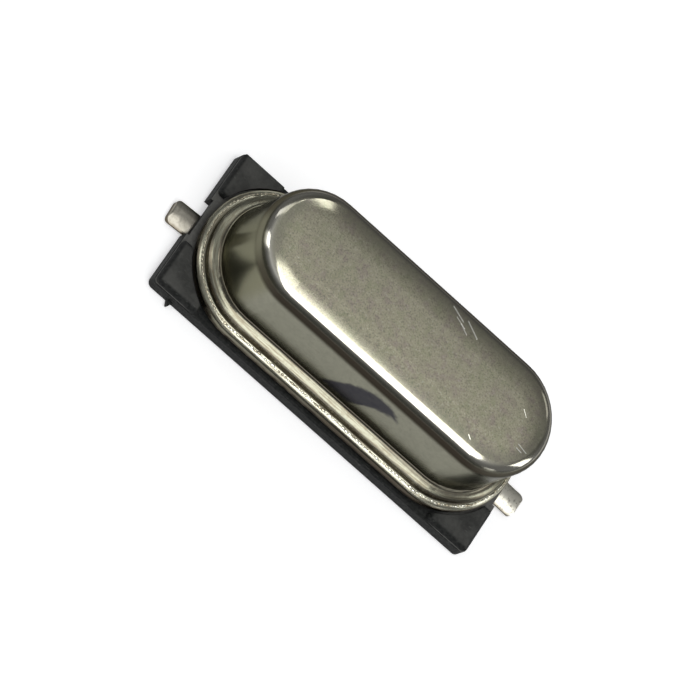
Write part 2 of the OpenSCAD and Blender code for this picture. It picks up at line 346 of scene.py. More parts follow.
class Rig(Bench):
    """One Geometry Nodes tree with named sizes, which makes one plain mesh."""

    def __init__(self, name: str, sizes: Mapping[str, float | int]) -> None:
        """Starts an empty tree and its named inputs.

        Args:
            name: The name of the tree and of the piece that it makes.
            sizes: The inputs' values by name, in metres and radians; an int is a seed.
        """
        super().__init__(bpy.data.node_groups.new(name, "GeometryNodeTree"))
        self.name = name
        self.sizes = sizes
        face = self.tree.interface
        kinds = {float: "NodeSocketFloat", int: "NodeSocketInt"}
        self.keys = {
            label: face.new_socket(label, in_out="INPUT", socket_type=kinds[type(size)]).identifier
            for label, size in sizes.items()
        }
        face.new_socket("Mesh", in_out="OUTPUT", socket_type="NodeSocketGeometry")
        self.source = self.tree.nodes.new("NodeGroupInput")

    def size(self, label: str) -> Wire:
        """Returns one of the named inputs."""
        return Wire(self, self.source.outputs[label])

    def bake(self, shape: Wire, material: bpy.types.Material) -> bpy.types.Object:
        """Ends the tree and turns what it makes into a plain mesh.

        Args:
            shape: The finished geometry.
            material: The material that it takes.

        Returns:
            The piece, at the origin, with no modifier.
        """
        real = self.node("GeometryNodeRealizeInstances", inputs={"Geometry": shape})
        inputs = {"Geometry": real, "Material": material}
        self.end("NodeGroupOutput", self.node("GeometryNodeSetMaterial", inputs=inputs))
        piece = bpy.data.objects.new(self.name, bpy.data.meshes.new(f"{self.name}_start"))
        bpy.context.scene.collection.objects.link(piece)
        modifier = piece.modifiers.new("rig", "NODES")
        modifier.node_group = self.tree
        for label, size in self.sizes.items():
            modifier[self.keys[label]] = size
        seen = piece.evaluated_get(bpy.context.evaluated_depsgraph_get())
        mesh = bpy.data.meshes.new_from_object(seen)
        piece.modifiers.remove(modifier)
        piece.data = mesh
        return piece


# ---- The part's own sizes ----


@dataclass(frozen=True)
class CanForm:
    """The can's section, in millimetres, as the shaders and the weld bead need it."""

    flange_reach: float = 0.5
    crown: float = 0.42
    shoulder_drop: float = 0.05
    bead_width: float = 0.21
    bead_height: float = 0.22
    bead_fall: float = 0.26
    shelf_height: float = 0.5
    low: Vector = field(default_factory=lambda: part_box("can")[0] / MM)
    high: Vector = field(default_factory=lambda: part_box("can")[1] / MM)

    @property
    def rim(self) -> float:
        """Distance of the rim from the can's spine."""
        return self.high.y

    @property
    def half_spine(self) -> float:
        """Half the length of the straight part."""
        return self.high.x - self.rim

    @property
    def wall(self) -> float:
        """Distance of the wall from the spine."""
        return self.rim - self.flange_reach

    @property
    def weld(self) -> float:
        """Height of the weld plane."""
        return self.low.z

    @property
    def shelf(self) -> float:
        """Height of the shelf."""
        return self.weld + self.shelf_height

    @property
    def top(self) -> float:
        """Height of the top face."""
        return self.high.z

    @property
    def crown_centre(self) -> float:
        """Height at which the wall turns into the crown."""
        return self.top - self.shoulder_drop - self.crown

    @property
    def step(self) -> float:
        """Distance from the spine of the step between shelf and bead."""
        return self.rim - self.bead_width

    def from_spine(self, recipe: Recipe, place: Wire) -> Wire:
        """Measures outwards from the can's spine.

        Args:
            recipe: The recipe that is being made.
            place: The place on the part, in millimetres.

        Returns:
            The distance seen from above, in millimetres.
        """
        x, y, _ = recipe.split(place)
        past_end = (abs(x) - self.half_spine).at_least(0.0)
        return (past_end * past_end + y * y) ** 0.5


# ---- Finishes ----


@dataclass(frozen=True)
class Finish:
    """A finish for one of the record's material slots."""

    slot: Slot
    name: str = ""

    def make(self) -> bpy.types.Material:
        """Returns the finish as a new material, named for its slot if it has no name."""
        recipe = Recipe(self.name or self.slot.value)
        return recipe.finish(self.surface(recipe))

    def surface(self, recipe: Recipe) -> dict[str, object]:
        """Lays out the nodes.

        Args:
            recipe: The recipe to add them to.

        Returns:
            Values and wires for the Principled shader's sockets.
        """
        raise NotImplementedError


@dataclass(frozen=True)
class Scratch:
    """A straight scratch in the top face, in millimetres."""

    start: Point
    end: Point
    width: float = 0.03

    def mask(self, recipe: Recipe, x: Wire, y: Wire) -> Wire:
        """Draws the scratch.

        Args:
            recipe: Not used.
            x: The place along the can.
            y: The place across the can.

        Returns:
            A mask that is 1 on the scratch's line.
        """
        run, rise = self.end[0] - self.start[0], self.end[1] - self.start[1]
        dx, dy = x - self.start[0], y - self.start[1]
        along = (dx * run + dy * rise) / (run * run + rise * rise)
        along = along.at_least(0.0).at_most(1.0)
        ex, ey = dx - along * run, dy - along * rise
        return ((ex * ex + ey * ey) ** 0.5).rise(self.width, 0.0)


@dataclass(frozen=True)
class WallReflection:
    """A painted bluish dark reflection on the near wall, a leaf that springs from the painted shade at
    the wall's foot, in millimetres.
    """

    colour: Colour = (0.044, 0.043, 0.054)
    crest: Point = (0.70, 3.02)
    arch: float = 0.76
    tip: Point = (1.35, 2.52)
    hollow: float = 0.93
    fade: Point = (1.30, 1.62)

    def mask(self, x: Wire, y: Wire, z: Wire) -> Wire:
        """Draws the painted reflection.

        Args:
            x: The place along the can.
            y: The place across the can.
            z: The height.

        Returns:
            A mask that is 1 on the painted reflection.
        """
        from_crest, from_tip = x - self.crest[0], x - self.tip[0]
        below_arch = self.crest[1] - from_crest * from_crest * self.arch - z
        above_hollow = z - self.tip[1] + from_tip * from_tip * self.hollow
        leaf = below_arch.rise(-0.08, 0.16) * above_hollow.rise(-0.10, 0.12)
        return leaf * z.rise(*self.fade) * y.rise(0.0, -1.0)


@dataclass(frozen=True)
class CrownReflection:
    """A painted dark brown reflection under the crown, higher on the far side and the right, in
    millimetres.

    An edge's two numbers are where the painted reflection starts and where it is full.
    """

    colour: Colour = (0.028, 0.022, 0.016)
    strength: float = 0.97
    above_centre: float = 0.29
    climb_across: float = 0.078
    climb_along: float = 0.025
    soft_edge: Point = (0.13, 0.03)
    firm_edge: Point = (0.06, -0.04)
    lower_edge: Point = (-0.20, 0.05)

    def mask(self, form: CanForm, x: Wire, y: Wire, z: Wire) -> Wire:
        """Draws the painted reflection.

        Args:
            form: The can's section.
            x: The place along the can.
            y: The place across the can.
            z: The height.

        Returns:
            A mask that is 1 on the painted reflection.
        """
        past_ends = (x - form.half_spine).at_least(0.0) + (x + form.half_spine).at_most(0.0)
        climb = (y * self.climb_across + past_ends * self.climb_along) / form.wall
        above = z - climb - (form.crown_centre + self.above_centre)
        upper = above.rise(*self.soft_edge) * 0.4 + above.rise(*self.firm_edge) * 0.6
        lower = (z - form.crown_centre).rise(*self.lower_edge)
        # The painted reflection is thinner on the round ends, and thinnest on the near side of the left
        # one
        thinnest = (x + form.half_spine).rise(-1.0, -1.5) * y.rise(0.1, -0.4)
        thinned = (abs(x) - form.half_spine).rise(0.0, 1.3) * 0.2 + thinnest * 0.45
        return upper * lower * (1 - thinned) * self.strength


@dataclass(frozen=True)
class CreaseShade:
    """Painted shade along the wall's foot, in the step and on the rim, in millimetres.

    A pair of numbers says where a part of it starts and where that part is full.
    """

    colour: Colour = (0.082, 0.068, 0.052)
    near_side: Point = (0.3, -1.1)
    right_part: Point = (1.5, 2.1)
    film: float = 0.02
    climb: float = 0.10
    sway: float = 0.26
    bulge: float = 0.18
    bulge_centre: float = 0.95
    bulge_edge: Point = (0.75, 0.35)
    right_fall: float = 0.05
    from_wall: float = 0.10
    right_spread: float = 0.07

    def mask(self, recipe: Recipe, form: CanForm, place: Wire, reach: Wire) -> Wire:
        """Draws the painted shade.

        Args:
            recipe: The recipe that is being made.
            form: The can's section.
            place: The place on the part, in millimetres.
            reach: The distance from the can's spine.

        Returns:
            A mask that is 1 on the painted shade.
        """
        x, y, z = recipe.split(place)
        above_shelf = z - form.shelf
        near = y.rise(*self.near_side)
        step = (reach - form.step).band(-0.035, 0.02, 0.02) * above_shelf.rise(0.1, 0.0)
        rim = (reach - form.rim).rise(-0.05, -0.01) * above_shelf.rise(0.0, -0.1)
        outer = step * 0.6 + rim * (0.25 + x.rise(-3.5, 2.0) * 0.6)
        foot = self.foot(recipe, form, x, near, above_shelf, reach)
        return (foot + outer * (0.35 + near * 0.65)).at_most(1.0)

    def foot(
        self, recipe: Recipe, form: CanForm, x: Wire, near: Wire, above_shelf: Wire, reach: Wire
    ) -> Wire:
        """Draws the painted shade along the wall's foot, which climbs the near wall in a swaying edge as
        a painted dark reflection.

        Args:
            recipe: The recipe that is being made.
            form: The can's section.
            x: The place along the can.
            near: A mask that is 1 on the near side.
            above_shelf: The height above the flange's shelf.
            reach: The distance from the can's spine.

        Returns:
            A mask that is above 0 on the painted shade.
        """
        right = x.rise(*self.right_part)
        sway = recipe.grain(recipe.join(x, 0.0, 0.0), 0.8) * self.sway
        bulge = abs(x - self.bulge_centre).rise(*self.bulge_edge) * self.bulge
        climb = self.film + near * (self.climb + sway + bulge - right * self.right_fall)
        spread = form.wall + self.from_wall + right * near * self.right_spread
        foot = (climb - above_shelf).rise(-0.02, 0.03) * (spread - reach).rise(0.0, 0.06)
        return foot * (0.62 - right * 0.08)


@dataclass(frozen=True)
class SatinNickel(Finish):
    """Deep-drawn nickel-silver sheet: a mottled satin top, a burnished crown, a pressed flange.

    A zone's two numbers are where it starts and where it is full, in millimetres.
    """

    form: CanForm = field(default_factory=CanForm)
    # The painted dark reflection on the near wall
    wall_reflection: WallReflection = field(default_factory=WallReflection)
    # The painted dark reflection under the crown
    tarnish: CrownReflection = field(default_factory=CrownReflection)
    # Painted shade in the creases, and a painted dark reflection up the near wall's foot
    crease_shade: CreaseShade = field(default_factory=CreaseShade)
    satin: Colour = (0.555, 0.525, 0.380)
    green_cast: Colour = (0.485, 0.480, 0.325)
    violet_cast: Colour = (0.490, 0.430, 0.350)
    burnished: Colour = (0.66, 0.64, 0.56)
    wall: Colour = (0.270, 0.268, 0.212)
    speckled: Colour = (0.185, 0.178, 0.145)
    pressed: Colour = (0.285, 0.282, 0.215)
    crest: Colour = (0.62, 0.61, 0.49)
    browned: Colour = (0.17, 0.145, 0.10)
    olive: Colour = (0.205, 0.201, 0.140)
    bright: Colour = (0.85, 0.84, 0.76)
    sheen_at_grazing: Colour = (0.45, 0.45, 0.45)
    scratches: tuple[Scratch, ...] = (
        Scratch((0.59, 1.39), (1.03, 1.22), 0.036),
        Scratch((0.82, 1.20), (1.16, 1.08), 0.026),
        Scratch((1.16, 1.34), (1.61, 1.10), 0.036),
        Scratch((1.02, 1.12), (1.30, 0.98), 0.026),
        Scratch((4.22, -0.43), (4.54, -0.47), 0.026),
        Scratch((4.22, -0.55), (4.41, -0.56), 0.026),
        Scratch((2.90, -1.20), (3.02, -1.27), 0.018),
        Scratch((3.80, 0.46), (3.98, 0.32), 0.016),
    )
    satin_below_top: Point = (0.12, 0.045)
    shoulder_below_top: Point = (0.008, 0.04)
    level_below_top: Point = (0.008, 0.001)
    scratched_below_top: Point = (0.2, 0.1)
    crown_above_centre: Point = (0.26, 0.33)
    flange_above_shelf: Point = (0.09, 0.02)
    olive_past_spine: Point = (-0.25, -0.7)
    crest_past_step: Point = (0.05, 0.17)
    relief_depth: float = 0.004

    def surface(self, recipe: Recipe) -> dict[str, object]:
        """Lays out the can's nodes.

        Args:
            recipe: The recipe to add them to.

        Returns:
            Values and wires for the Principled shader's sockets.
        """
        form = self.form
        place = recipe.millimetres()
        x, y, z = recipe.split(place)
        reach = form.from_spine(recipe, place)
        below_top = form.top - z
        on_crown = (z - form.crown_centre).rise(*self.crown_above_centre)
        on_flange = (z - form.shelf).rise(*self.flange_above_shelf)
        left_end = (x + form.half_spine).rise(*self.olive_past_spine)
        mottle = recipe.grain(place, 6.5, detail=5.0, twist=0.2)
        speckle = recipe.grain(place, 21.0, detail=3.0)
        rings = recipe.grain(recipe.join(reach, x * 0.05, y * 0.05), 21.0)
        marks = sum((scratch.mask(recipe, x, y) for scratch in self.scratches), 0.0)
        marks = marks * below_top.rise(*self.scratched_below_top)

        clouded = speckle.rise(0.52, 0.38) * 0.35 + mottle.rise(0.58, 0.34) * 0.22
        colour = recipe.blend(clouded, self.wall, self.speckled)
        colour = recipe.blend(left_end, colour, self.olive)
        colour = recipe.blend(on_crown, colour, self.burnished)
        top = self.top_colour(recipe, place, mottle, speckle)
        colour = recipe.blend(below_top.rise(*self.satin_below_top), colour, top)
        # The painted dark reflection on the near wall
        reflected_dark = self.wall_reflection.mask(x, y, z + (mottle - 0.5) * 0.3)
        colour = recipe.blend(reflected_dark * (0.80 + mottle * 0.22), colour, self.wall_reflection.colour)
        flange = self.flange_colour(recipe, reach, mottle, rings, left_end)
        colour = recipe.blend(on_flange, colour, flange)
        # Painted shade in the creases, and a painted dark reflection up the near wall's foot
        colour = recipe.blend(self.crease_shade.mask(recipe, form, place, reach), colour, self.crease_shade.colour)
        # The painted dark reflection under the crown
        colour = recipe.blend(self.tarnish.mask(form, x, y, z), colour, self.tarnish.colour)
        colour = recipe.blend(marks, colour, self.bright)

        draw_lines = recipe.grain(recipe.join(x, y, z * 0.05), 16.0)
        level = below_top.rise(*self.level_below_top)
        top_relief = (mottle * 0.4 + speckle * 0.4) * level
        wall_relief = draw_lines * 0.12 * (1 - on_crown) * (1 - on_flange)
        flange_relief = (rings * 0.7 + speckle * 0.2) * on_flange
        height = top_relief + wall_relief + flange_relief - marks * 0.5
        roughness = 0.21 - on_crown * 0.09 + level * (0.05 + speckle * 0.05)
        roughness = roughness + on_flange * 0.05 + marks * 0.1
        return {
            "Base Color": colour,
            "Metallic": 1.0,
            "Roughness": roughness,
            "Specular Tint": self.sheen_at_grazing,
            "Normal": recipe.relief(height, self.relief_depth),
        }

    def top_colour(self, recipe: Recipe, place: Wire, mottle: Wire, speckle: Wire) -> Wire:
        """Mixes the satin top's colour: two casts, fine speckles, painted shade towards the far side and
        the left end and on the shoulder.

        Args:
            recipe: The recipe that is being made.
            place: The place on the part, in millimetres.
            mottle: The sheet's coarse grain.
            speckle: The sheet's fine grain.

        Returns:
            The colour.
        """
        x, y, z = recipe.split(place)
        casts = recipe.grain(place, 1.8, detail=5.0, twist=0.3).rise(0.40, 0.62)
        top = recipe.blend(casts, self.green_cast, self.violet_cast)
        top = recipe.blend(mottle.rise(0.36, 0.62), top, self.satin)
        top = recipe.blend(speckle.rise(0.56, 0.70) * 0.26, top, self.bright)
        top = recipe.blend(speckle.rise(0.48, 0.34) * 0.42, top, self.speckled)
        # Painted shade: darker towards the far side and towards the left end
        far_and_left_shade = y.rise(-0.3, 0.8) * 0.20 + x.rise(0.0, -2.5) * 0.12
        top = recipe.blend(far_and_left_shade, top, self.speckled)
        # Painted shade: the shoulder is darkened half-way to the wall's colour
        shoulder_shade = (self.form.top - z).rise(*self.shoulder_below_top)
        return recipe.blend(shoulder_shade * 0.5, top, self.wall)

    def flange_colour(
        self, recipe: Recipe, reach: Wire, mottle: Wire, rings: Wire, left_end: Wire
    ) -> Wire:
        """Mixes the flange's colour: brown in its rings, bright along the bead's crest.

        Args:
            recipe: The recipe that is being made.
            reach: The distance from the can's spine.
            mottle: The sheet's coarse grain.
            rings: The pressing's rings round the can.
            left_end: A mask that is 1 at the can's left end, where the crest is duller.

        Returns:
            The colour.
        """
        flange = recipe.blend(mottle.rise(0.46, 0.62) * 0.3, self.pressed, self.browned)
        crest = (reach - self.form.step).band(*self.crest_past_step, 0.03)
        flange = recipe.blend(crest * (0.8 - left_end * 0.5), flange, self.crest)
        return recipe.blend(rings.rise(0.54, 0.38) * 0.7, flange, self.browned)


@dataclass(frozen=True)
class WeldSpatter(Finish):
    """The weld's bright nuggets, burnished where they were squeezed out."""

    metal: Colour = (0.82, 0.81, 0.70)
    burnt: Colour = (0.42, 0.38, 0.28)

    def surface(self, recipe: Recipe) -> dict[str, object]:
        """Lays out the nuggets' nodes.

        Args:
            recipe: The recipe to add them to.

        Returns:
            Values and wires for the Principled shader's sockets.
        """
        place = recipe.millimetres()
        burns = recipe.grain(place, 4.0)
        clean = burns.rise(0.60, 0.46) * (1 - recipe.split(place)[0].rise(-3.5, -4.2) * 0.8)
        return {
            "Base Color": recipe.blend(clean, self.burnt, self.metal),
            "Metallic": 1.0,
            "Roughness": 0.16 + burns * 0.12,
        }


@dataclass(frozen=True)
class WeldedPlate(Finish):
    """The header's plated steel, dull and brownish along the weld."""

    metal: Colour = (0.20, 0.175, 0.13)
    scorched: Colour = (0.060, 0.046, 0.034)

    def surface(self, recipe: Recipe) -> dict[str, object]:
        """Lays out the header's nodes.

        Args:
            recipe: The recipe to add them to.

        Returns:
            Values and wires for the Principled shader's sockets.
        """
        place = recipe.millimetres()
        stains = recipe.grain(place, 2.4, detail=4.0, twist=0.7)
        pits = recipe.grain(place, 24.0)
        clean = stains.rise(0.35, 0.6) * (1 - recipe.split(place)[0].rise(-3.5, 2.0) * 0.7)
        return {
            "Base Color": recipe.blend(clean, self.scorched, self.metal),
            "Metallic": 1.0,
            "Roughness": 0.30 + stains * 0.16,
            "Normal": recipe.relief(pits, 0.004),
        }


@dataclass(frozen=True)
class SealGlass(Finish):
    """Fused compression glass, dark and faintly streaked."""

    glass: Colour = (0.10, 0.17, 0.20)
    streak: Colour = (0.16, 0.25, 0.27)

    def surface(self, recipe: Recipe) -> dict[str, object]:
        """Lays out the glass's nodes.

        Args:
            recipe: The recipe to add them to.

        Returns:
            Values and wires for the Principled shader's sockets.
        """
        place = recipe.millimetres()
        flow = recipe.grain(place, 5.0, detail=3.0, twist=1.2)
        return {
            "Base Color": recipe.blend(flow.rise(0.4, 0.6), self.glass, self.streak),
            "Roughness": 0.07 + flow * 0.06,
            "IOR": 1.52,
            "Transmission Weight": 0.35,
            "Normal": recipe.relief(flow, 0.006),
        }


@dataclass(frozen=True)
class HotTin(Finish):
    """Hot-dipped tin: shallow waves, small dull spots and a painted dark reflection low on the foot's
    edge, duller on the left.
    """

    tin: Colour = (0.60, 0.58, 0.50)
    dull: Colour = (0.285, 0.268, 0.225)
    # The colour of the painted dark reflection low on the foot's edge
    rim: Colour = (0.13, 0.105, 0.07)
    sheen_at_grazing: Colour = (0.5, 0.5, 0.5)
    foot_thickness: float = 0.25

    def surface(self, recipe: Recipe) -> dict[str, object]:
        """Lays out the tin's nodes.

        Args:
            recipe: The recipe to add them to.

        Returns:
            Values and wires for the Principled shader's sockets.
        """
        place = recipe.millimetres()
        x, _, z = recipe.split(place)
        waves = recipe.grain(place, 2.2, twist=0.4)
        spots = recipe.grain(place, 14.0, detail=3.0)
        dulled = (spots.rise(0.52, 0.72) + x.rise(0.5, -0.5) * 0.9).at_most(1.0)
        colour = recipe.blend(dulled, self.tin, self.dull)
        # The painted dark reflection low on the foot's edge
        edge = (self.foot_thickness - z).rise(0.05, 0.11) * z.rise(0.0, 0.03)
        return {
            "Base Color": recipe.blend(edge * 0.85, colour, self.rim),
            "Metallic": 1.0,
            "Roughness": 0.24 + spots * 0.16,
            "Specular Tint": self.sheen_at_grazing,
            "Normal": recipe.relief(waves * 1.4 + spots * 0.12, 0.012),
        }


@dataclass(frozen=True)
class RolledStrip(Finish):
    """Thin rolled spring strip with fine rolling lines along it."""

    metal: Colour = (0.60, 0.55, 0.44)
    shade: Colour = (0.48, 0.43, 0.33)

    def surface(self, recipe: Recipe) -> dict[str, object]:
        """Lays out the strip's nodes.

        Args:
            recipe: The recipe to add them to.

        Returns:
            Values and wires for the Principled shader's sockets.
        """
        x, y, z = recipe.split(recipe.millimetres())
        lines = recipe.grain(recipe.join(x * 0.06, y, z * 0.06), 40.0)
        return {
            "Base Color": recipe.blend(lines, self.shade, self.metal),
            "Metallic": 1.0,
            "Roughness": 0.26 + lines * 0.14,
            "Normal": recipe.relief(lines, 0.001),
        }


@dataclass(frozen=True)
class LappedQuartz(Finish):
    """Lapped quartz: clear under a fine frosted face."""

    clear: Colour = (0.90, 0.93, 0.94)
    frost: Colour = (0.78, 0.82, 0.84)

    def surface(self, recipe: Recipe) -> dict[str, object]:
        """Lays out the quartz's nodes.

        Args:
            recipe: The recipe to add them to.

        Returns:
            Values and wires for the Principled shader's sockets.
        """
        lapping = recipe.grain(recipe.millimetres(), 45.0)
        return {
            "Base Color": recipe.blend(lapping, self.frost, self.clear),
            "Roughness": 0.22 + lapping * 0.2,
            "IOR": 1.544,
            "Transmission Weight": 0.8,
            "Normal": recipe.relief(lapping, 0.001),
        }


@dataclass(frozen=True)
class SilverFilm(Finish):
    """Evaporated silver with a soft edge of tarnish."""

    silver: Colour = (0.88, 0.87, 0.84)
    tarnish: Colour = (0.62, 0.57, 0.48)

    def surface(self, recipe: Recipe) -> dict[str, object]:
        """Lays out the film's nodes.

        Args:
            recipe: The recipe to add them to.

        Returns:
            Values and wires for the Principled shader's sockets.
        """
        place = recipe.millimetres()
        cloud = recipe.grain(place, 1.3, detail=4.0, twist=0.5)
        lapping = recipe.grain(place, 45.0)
        return {
            "Base Color": recipe.blend(cloud.rise(0.5, 0.75), self.silver, self.tarnish),
            "Metallic": 1.0,
            "Roughness": 0.28 + lapping * 0.14,
            "Normal": recipe.relief(lapping, 0.001),
        }


@dataclass(frozen=True)
class SilverPaste(Finish):
    """Cured silver-filled adhesive: grey, with glinting flakes."""

    binder: Colour = (0.34, 0.33, 0.31)
    flake: Colour = (0.70, 0.69, 0.66)

    def surface(self, recipe: Recipe) -> dict[str, object]:
        """Lays out the paste's nodes.

        Args:
            recipe: The recipe to add them to.

        Returns:
            Values and wires for the Principled shader's sockets.
        """
        flakes = recipe.grain(recipe.millimetres(), 30.0, detail=3.0).rise(0.5, 0.62)
        return {
            "Base Color": recipe.blend(flakes, self.binder, self.flake),
            "Metallic": flakes * 0.9,
            "Roughness": 0.7 - flakes * 0.35,
            "Normal": recipe.relief(flakes, 0.006),
        }


@dataclass(frozen=True)
class BlackMoulding(Finish):
    """Glass-filled black moulding: matte, finely grained, paler on its upward faces, dusted and with
    painted light.
    """

    black: Colour = (0.008, 0.009, 0.0085)
    rubbed: Colour = (0.024, 0.025, 0.0235)
    # The pale colour of the dusting and the painted light on the upward faces
    pale_dust_and_light: Colour = (0.120, 0.119, 0.110)
    fibre: Colour = (0.085, 0.086, 0.080)
    post_height: float = 0.22

    def surface(self, recipe: Recipe) -> dict[str, object]:
        """Lays out the moulding's nodes.

        Args:
            recipe: The recipe to add them to.

        Returns:
            Values and wires for the Principled shader's sockets.
        """
        place = recipe.millimetres()
        x, y, z = recipe.split(place)
        grain = recipe.grain(place, 11.0, detail=4.0, twist=0.3)
        fine = recipe.grain(place, 34.0)
        fibres = recipe.grain(recipe.join(x * 0.25, y, z), 22.0, detail=1.0).rise(0.66, 0.76)
        top = (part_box("insulator_base")[1] / MM).z
        plate = top - self.post_height
        on_plate = (z - plate).band(-0.01, 0.02, 0.01) * abs(x).rise(4.3, 4.8)
        on_posts = (top - z).rise(0.05, 0.005)
        # Painted light and a dusting: the post tops and the plate's ends are paler
        cloud = recipe.grain(place, 1.4).rise(0.35, 0.65)
        dust_and_top_light = on_posts * (0.18 + cloud * 0.24 + x.rise(-4.2, -5.0) * 0.08)
        dust_and_top_light = dust_and_top_light + on_plate * (0.55 + grain * 0.7)
        colour = recipe.blend(grain.rise(0.3, 0.7), self.black, self.rubbed)
        colour = recipe.blend(dust_and_top_light, colour, self.pale_dust_and_light)
        colour = recipe.blend(fibres * 0.6, colour, self.fibre)
        return {
            "Base Color": colour,
            "Roughness": 0.58 + fine * 0.16,
            "Specular IOR Level": 0.16,
            "Normal": recipe.relief(grain * 0.8 + fine * 0.5, 0.010),
        }


@dataclass(frozen=True)
class PaleFloor:
    """A plain pale floor that the part throws its soft shadow on."""

    colour: Colour = (0.80, 0.80, 0.80)
    glow: float = 0.42

    def make(self) -> bpy.types.Material:
        """Returns the floor as a new material."""
        recipe = Recipe("pale_floor")
        paper = recipe.node("ShaderNodeBsdfDiffuse", inputs={"Color": self.colour})
        light = recipe.node("ShaderNodeEmission", inputs={"Strength": self.glow})
        both = recipe.node("ShaderNodeAddShader", inputs={0: paper, 1: light})
        camera = recipe.node("ShaderNodeLightPath", output="Is Camera Ray")
        mirrored = camera.beside("Is Glossy Ray").at_least(camera.beside("Is Transmission Ray"))
        inputs = {0: camera.at_least(mirrored), 1: paper, 2: both}
        recipe.end("ShaderNodeOutputMaterial", recipe.node("ShaderNodeMixShader", inputs=inputs))
        return recipe.material


# ---- Sub-assemblies ----


def dress(nodes: Sequence[str], finish: Finish) -> None:
    """Gives some of the frame's nodes their finish.

    Args:
        nodes: The nodes' names.
        finish: The finish that they share.
    """
    material = finish.make()
    for name in nodes:
        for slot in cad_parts[name].material_slots:
            slot.material = material
        LOG.info("%s: %s", name, finish.slot.value)


@dataclass(frozen=True)
class WeldNuggets:
    """The small nuggets that the weld leaves along the bead's crest, in millimetres."""

    form: CanForm
    spacing: float = 0.125
    length: float = 0.15
    width: float = 0.075
    height: float = 0.024
    from_step: float = 0.085
    wander: float = 0.012
    seed: int = 11

    def crest(self) -> tuple[float, float, float]:
        """Finds the line that the nuggets follow.

        Returns:
            Its distance from the spine, its height, and the bead's slope there in radians.
        """
        slope = math.asin(self.from_step / self.form.bead_fall)
        drop = self.form.bead_fall * (1 - math.cos(slope))
        bead = self.form.weld + self.form.bead_height
        return self.form.step + self.from_step, bead - drop, slope

    def build(self) -> bpy.types.Object:
        """Strews the nuggets all round the rim.

        Returns:
            The nuggets, as one mesh.
        """
        reach, height, slope = self.crest()
        sizes = {
            "Straight": self.form.half_spine * MM,
            "Reach": reach * MM,
            "Height": height * MM,
            "Slope": slope,
            "Spacing": self.spacing * MM,
            "Length": self.length * MM,
            "Width": self.width * MM,
            "Thickness": self.height * MM,
            "Wander": self.wander * MM,
            "Seed": self.seed,
        }
        rig = Rig("weld_nuggets", sizes)
        points = self.row(rig)
        tangent = points.beside("Tangent")
        outward = rig.vector("CROSS_PRODUCT", tangent, (0.0, 0.0, 1.0))
        jitter = self.chance(rig, (-1.0, -1.0, -1.0), (1.0, 1.0, 1.0), 0)
        aside = rig.vector("SCALE", outward, rig.split(jitter)[0] * rig.size("Wander"))
        strewn = rig.node("GeometryNodeSetPosition", inputs={"Geometry": points, "Offset": aside})
        half = rig.join(rig.size("Length") * 0.5, rig.size("Width") * 0.5, rig.size("Thickness"))
        spread = self.chance(rig, (0.45, 0.65, 0.4), (1.25, 1.15, 1.2), 1)
        inputs = {
            "Points": strewn,
            "Instance": rig.node("GeometryNodeMeshUVSphere", inputs={"Segments": 10, "Rings": 6}),
            "Rotation": self.turned(rig, tangent, outward),
            "Scale": rig.vector("MULTIPLY", half, spread),
        }
        nuggets = rig.node("GeometryNodeInstanceOnPoints", inputs=inputs)
        smooth = rig.node("GeometryNodeSetShadeSmooth", inputs={"Geometry": nuggets})
        piece = rig.bake(smooth, WeldSpatter(Slot.CAN, "weld_spatter").make())
        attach(piece, "root")
        LOG.info("%s: %d faces", piece.name, len(piece.data.polygons))
        return piece

    def row(self, rig: Rig) -> Wire:
        """Lays points along the crest.

        Args:
            rig: The rig that is being made.

        Returns:
            The points, with their tangents beside them.
        """
        ring = {"Resolution": 240, "Radius": rig.size("Reach")}
        circle = rig.node("GeometryNodeCurvePrimitiveCircle", inputs=ring)
        x = rig.split(rig.node("GeometryNodeInputPosition"))[0]
        apart = rig.join(x.sign() * rig.size("Straight"), 0.0, rig.size("Height"))
        track = rig.node("GeometryNodeSetPosition", inputs={"Geometry": circle, "Offset": apart})
        inputs = {"Curve": track, "Length": rig.size("Spacing")}
        return rig.node("GeometryNodeCurveToPoints", {"mode": "LENGTH"}, inputs)

    def turned(self, rig: Rig, tangent: Wire, outward: Wire) -> Wire:
        """Lays a nugget along the crest, square to the bead's slope.

        Args:
            rig: The rig that is being made.
            tangent: The crest's direction.
            outward: The level direction away from the can.

        Returns:
            The nugget's rotation.
        """
        sine, cosine = (
            rig.node("ShaderNodeMath", {"operation": operation}, {0: rig.size("Slope")})
            for operation in ("SINE", "COSINE")
        )
        upright = rig.vector("ADD", rig.vector("SCALE", outward, sine), rig.join(0.0, 0.0, cosine))
        kind = "FunctionNodeAlignRotationToVector"
        along = rig.node(kind, {"axis": "X", "pivot_axis": "AUTO"}, {"Vector": tangent})
        inputs = {"Rotation": along, "Vector": upright}
        return rig.node(kind, {"axis": "Z", "pivot_axis": "X"}, inputs)

    def chance(self, rig: Rig, low: Colour, high: Colour, turn: int) -> Wire:
        """Adds random vectors.

        Args:
            rig: The rig that is being made.
            low: The smallest components.
            high: The largest components.
            turn: Which of the draws this is.

        Returns:
            One random vector for each point.
        """
        inputs = {0: low, 1: high, "Seed": rig.size("Seed") + float(turn)}
        return rig.node("FunctionNodeRandomValue", {"data_type": "FLOAT_VECTOR"}, inputs)


@dataclass(frozen=True)
class Enclosure:
    """The welded can and header with the glass seals in it."""

    form: CanForm = field(default_factory=CanForm)

    def build(self) -> None:
        """Dresses the enclosure."""
        dress(["can"], SatinNickel(Slot.CAN, form=self.form))
        WeldNuggets(self.form).build()
        dress(["header_base"], WeldedPlate(Slot.HEADER))
        dress([f"glass_seal_{side.value}" for side in Side], SealGlass(Slot.SEAL))


@dataclass(frozen=True)
class Leads:
    """The two wires and their flattened feet."""

    def build(self) -> None:
        """Dresses the leads."""
        dress([f"lead_{side.value}" for side in Side], HotTin(Slot.LEAD))


